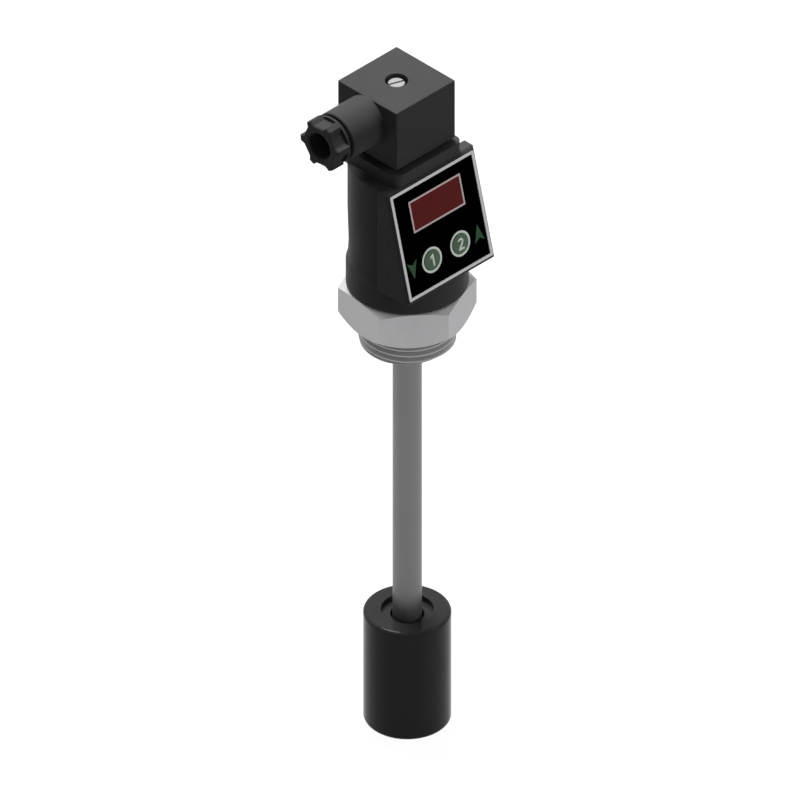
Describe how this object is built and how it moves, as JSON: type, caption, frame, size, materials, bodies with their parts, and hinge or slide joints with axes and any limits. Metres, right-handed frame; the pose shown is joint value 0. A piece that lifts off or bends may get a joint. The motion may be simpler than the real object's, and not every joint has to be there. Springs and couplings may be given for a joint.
{
  "type": "float level switch",
  "caption": "Magnetic float level switch: float on a stem under a threaded hexagon, with a swivelling display head and an angled plug connector.",
  "frame": {"origin": "on the stem's axis at the sealing face under the hexagon", "axes": "+Z along the stem towards the head; the display looks along -Y and the cable leaves along -X"},
  "size_m": [0.0591, 0.0468, 0.264],
  "materials": {
    "nipple_steel": "fine turned, bright",
    "stem_steel": "drawn, satin",
    "plug_steel": "turned, satin",
    "board_green": "solder mask",
    "reed_glass": "clear",
    "resistor_black": "matt",
    "washer_steel": "satin",
    "spring_steel": "phosphated spring steel",
    "seal_rubber": "smooth",
    "float_black": "glossy",
    "magnet_grey": "sintered",
    "housing_black": "fine eroded texture",
    "cover_black": "fine eroded texture",
    "faceplate_black": "glossy film",
    "frame_silver": "satin",
    "window_red": "dark red filter",
    "window_frame_grey": "satin",
    "ring_light": "satin",
    "key_green": "satin",
    "digit_black": "smooth",
    "switch_black": "matt",
    "screw_steel": "zinc plated",
    "component_grey": "matt",
    "base_black": "glass-filled, matt",
    "blade_tin": "tinned",
    "gasket_rubber": "smooth",
    "socket_black": "fine eroded texture",
    "insert_grey": "matt",
    "contact_brass": "tumbled",
    "centre_screw_steel": "zinc plated",
    "nut_black": "fine eroded texture",
    "gland_washer_black": "smooth"
  },
  "bodies": {
    "process_connection": {"hex_nipple": "nipple_steel", "stem_tube": "stem_steel", "stem_end_plug": "plug_steel", "reed_board": "board_green", "reed_switches": "reed_glass", "chain_resistors": "resistor_black", "stop_washer": "washer_steel", "stop_ring": "spring_steel", "swivel_seal_ring": "seal_rubber", "swivel_snap_ring": "spring_steel"},
    "float_group": {"float": "float_black", "float_magnet": "magnet_grey"},
    "head": {"housing": "housing_black", "front_cover": "cover_black", "faceplate": "faceplate_black", "face_frame": "frame_silver", "display_window": "window_red", "window_frame": "window_frame_grey", "key_rings": "ring_light", "digit_display": "digit_black", "display_board": "board_green", "key_switches": "switch_black", "board_screws": "screw_steel", "main_board": "board_green", "board_components": "component_grey", "connector_base": "base_black", "contact_blades": "blade_tin", "earth_blade": "blade_tin", "profile_gasket": "gasket_rubber", "socket_shell": "socket_black", "terminal_insert": "insert_grey", "contact_sockets": "contact_brass", "terminal_screws": "screw_steel", "screw_seal": "seal_rubber", "centre_screw": "centre_screw_steel", "gland_nut": "nut_black", "gland_washer": "gland_washer_black", "cable_grommet": "seal_rubber"},
    "key_1": {"key_1": "key_green"},
    "key_2": {"key_2": "key_green"}
  },
  "joints": [
    {"name": "float_slide", "type": "slide", "parent": "process_connection", "child": "float_group", "axis": [0, 0, 1], "range_m": [0, 0.112]},
    {"name": "head_swivel", "type": "hinge", "parent": "process_connection", "child": "head", "pos_m": [0, 0, 0], "axis": [0, 0, 1], "range_deg": [-135, 135]},
    {"name": "key_1_press", "type": "slide", "parent": "head", "child": "key_1", "axis": [0, 0.9703, -0.2419], "range_m": [0, 0.0005], "stiffness_N_per_m": 1500, "springref_m": -0.0005},
    {"name": "key_2_press", "type": "slide", "parent": "head", "child": "key_2", "axis": [0, 0.9703, -0.2419], "range_m": [0, 0.0005], "stiffness_N_per_m": 1500, "springref_m": -0.0005}
  ]
}
